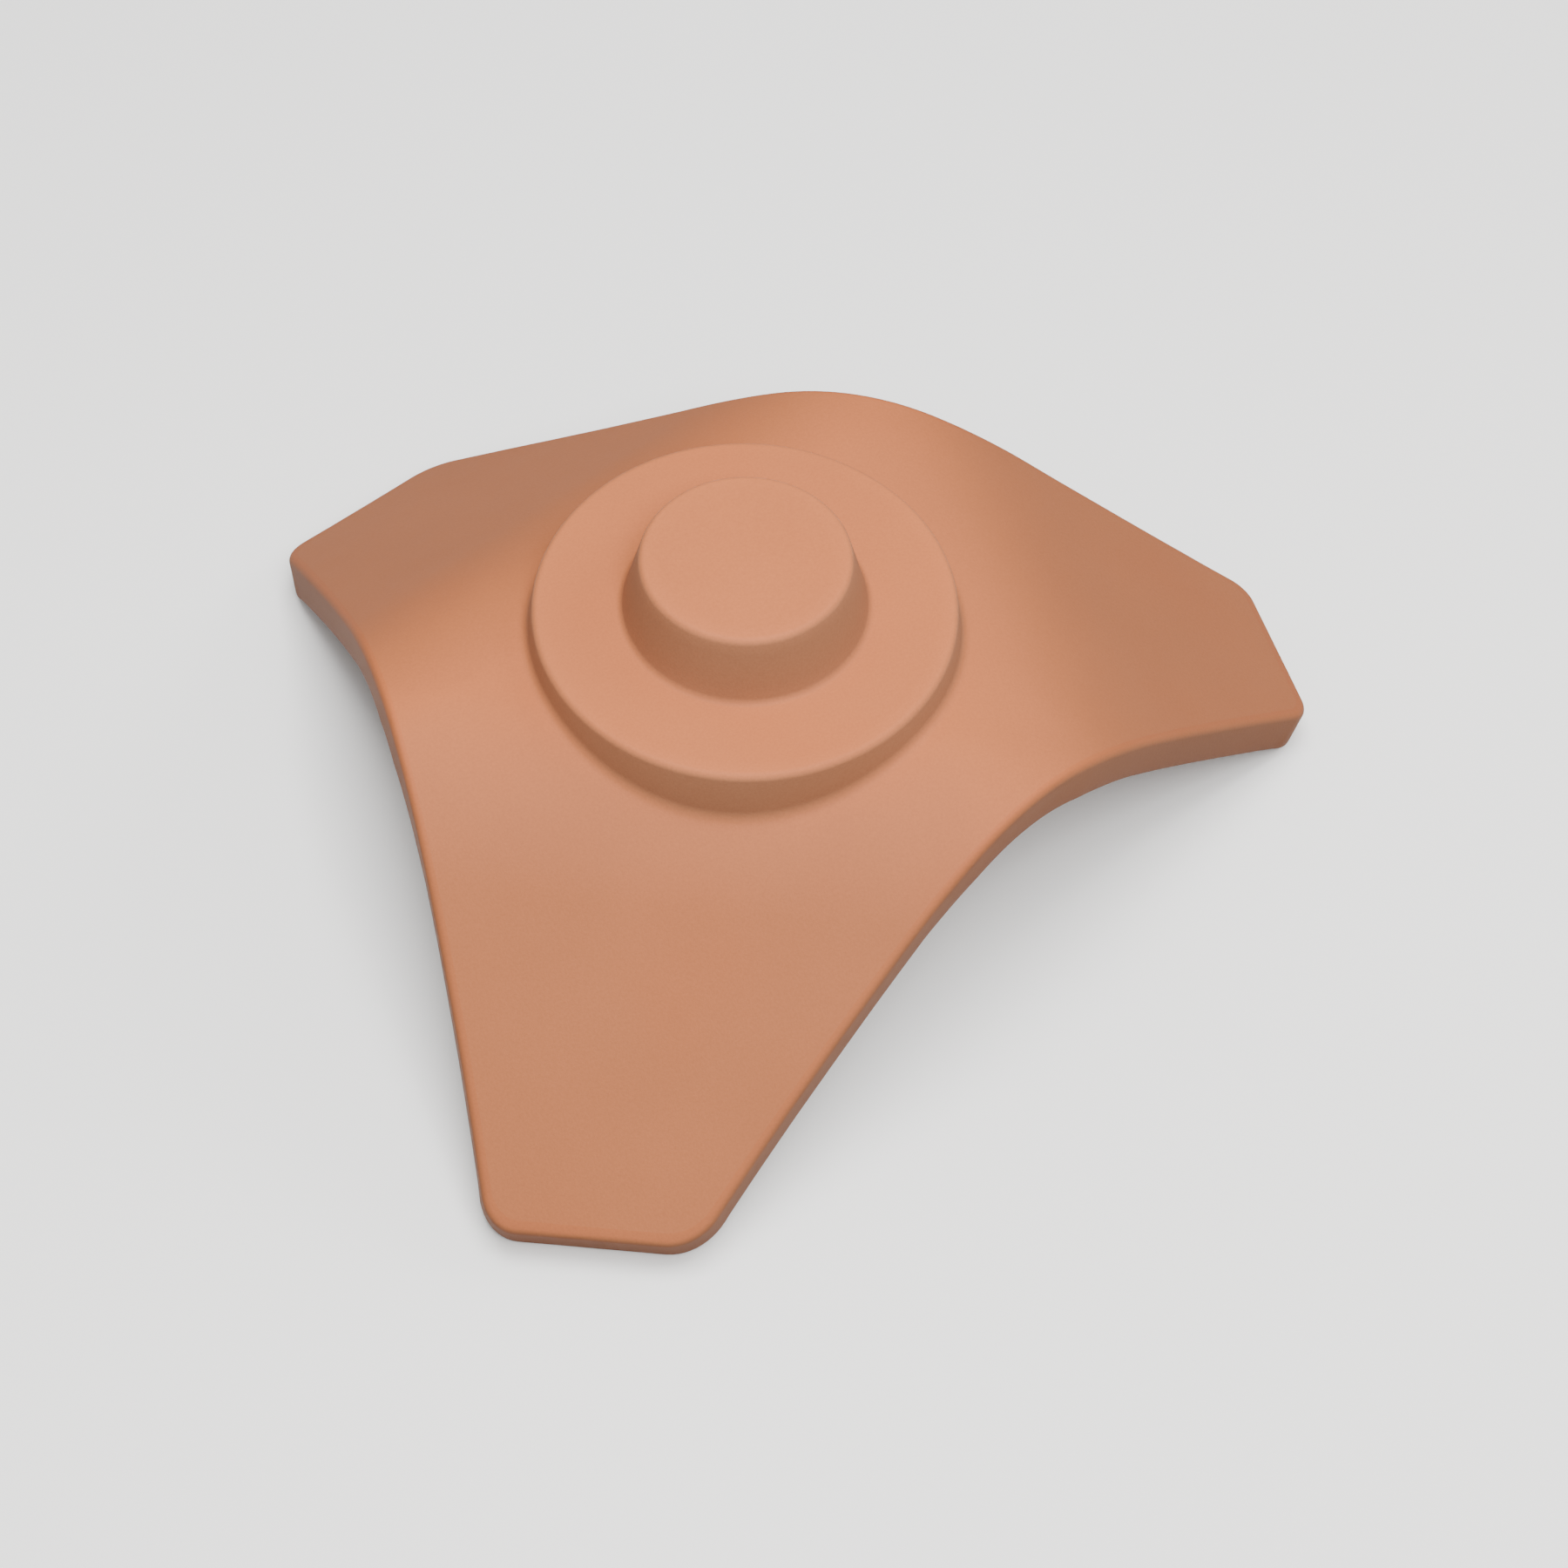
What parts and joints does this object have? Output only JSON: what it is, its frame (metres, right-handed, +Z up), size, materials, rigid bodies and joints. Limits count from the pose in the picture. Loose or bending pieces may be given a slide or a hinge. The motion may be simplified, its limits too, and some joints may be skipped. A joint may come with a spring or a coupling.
{
  "type": "ridge junction tile",
  "caption": "Fired clay roof tile that covers the meeting of a ridge and two hips: three flaps fold down from a level crown with a stepped round boss, hollow underneath.",
  "frame": {"origin": "centre of the bounding box, on the floor that the three flap ends rest on", "axes": "+Z up through the crown, +X along the end flap that faces away from the ridge mouth, Y across the two side flaps; y = 0 is the plane of symmetry"},
  "size_m": [0.3526, 0.3592, 0.1498],
  "materials": {
    "fired_clay": "matt unglazed terracotta"
  },
  "bodies": {
    "root": {"ridge_junction_tile": "fired_clay"}
  },
  "joints": []
}
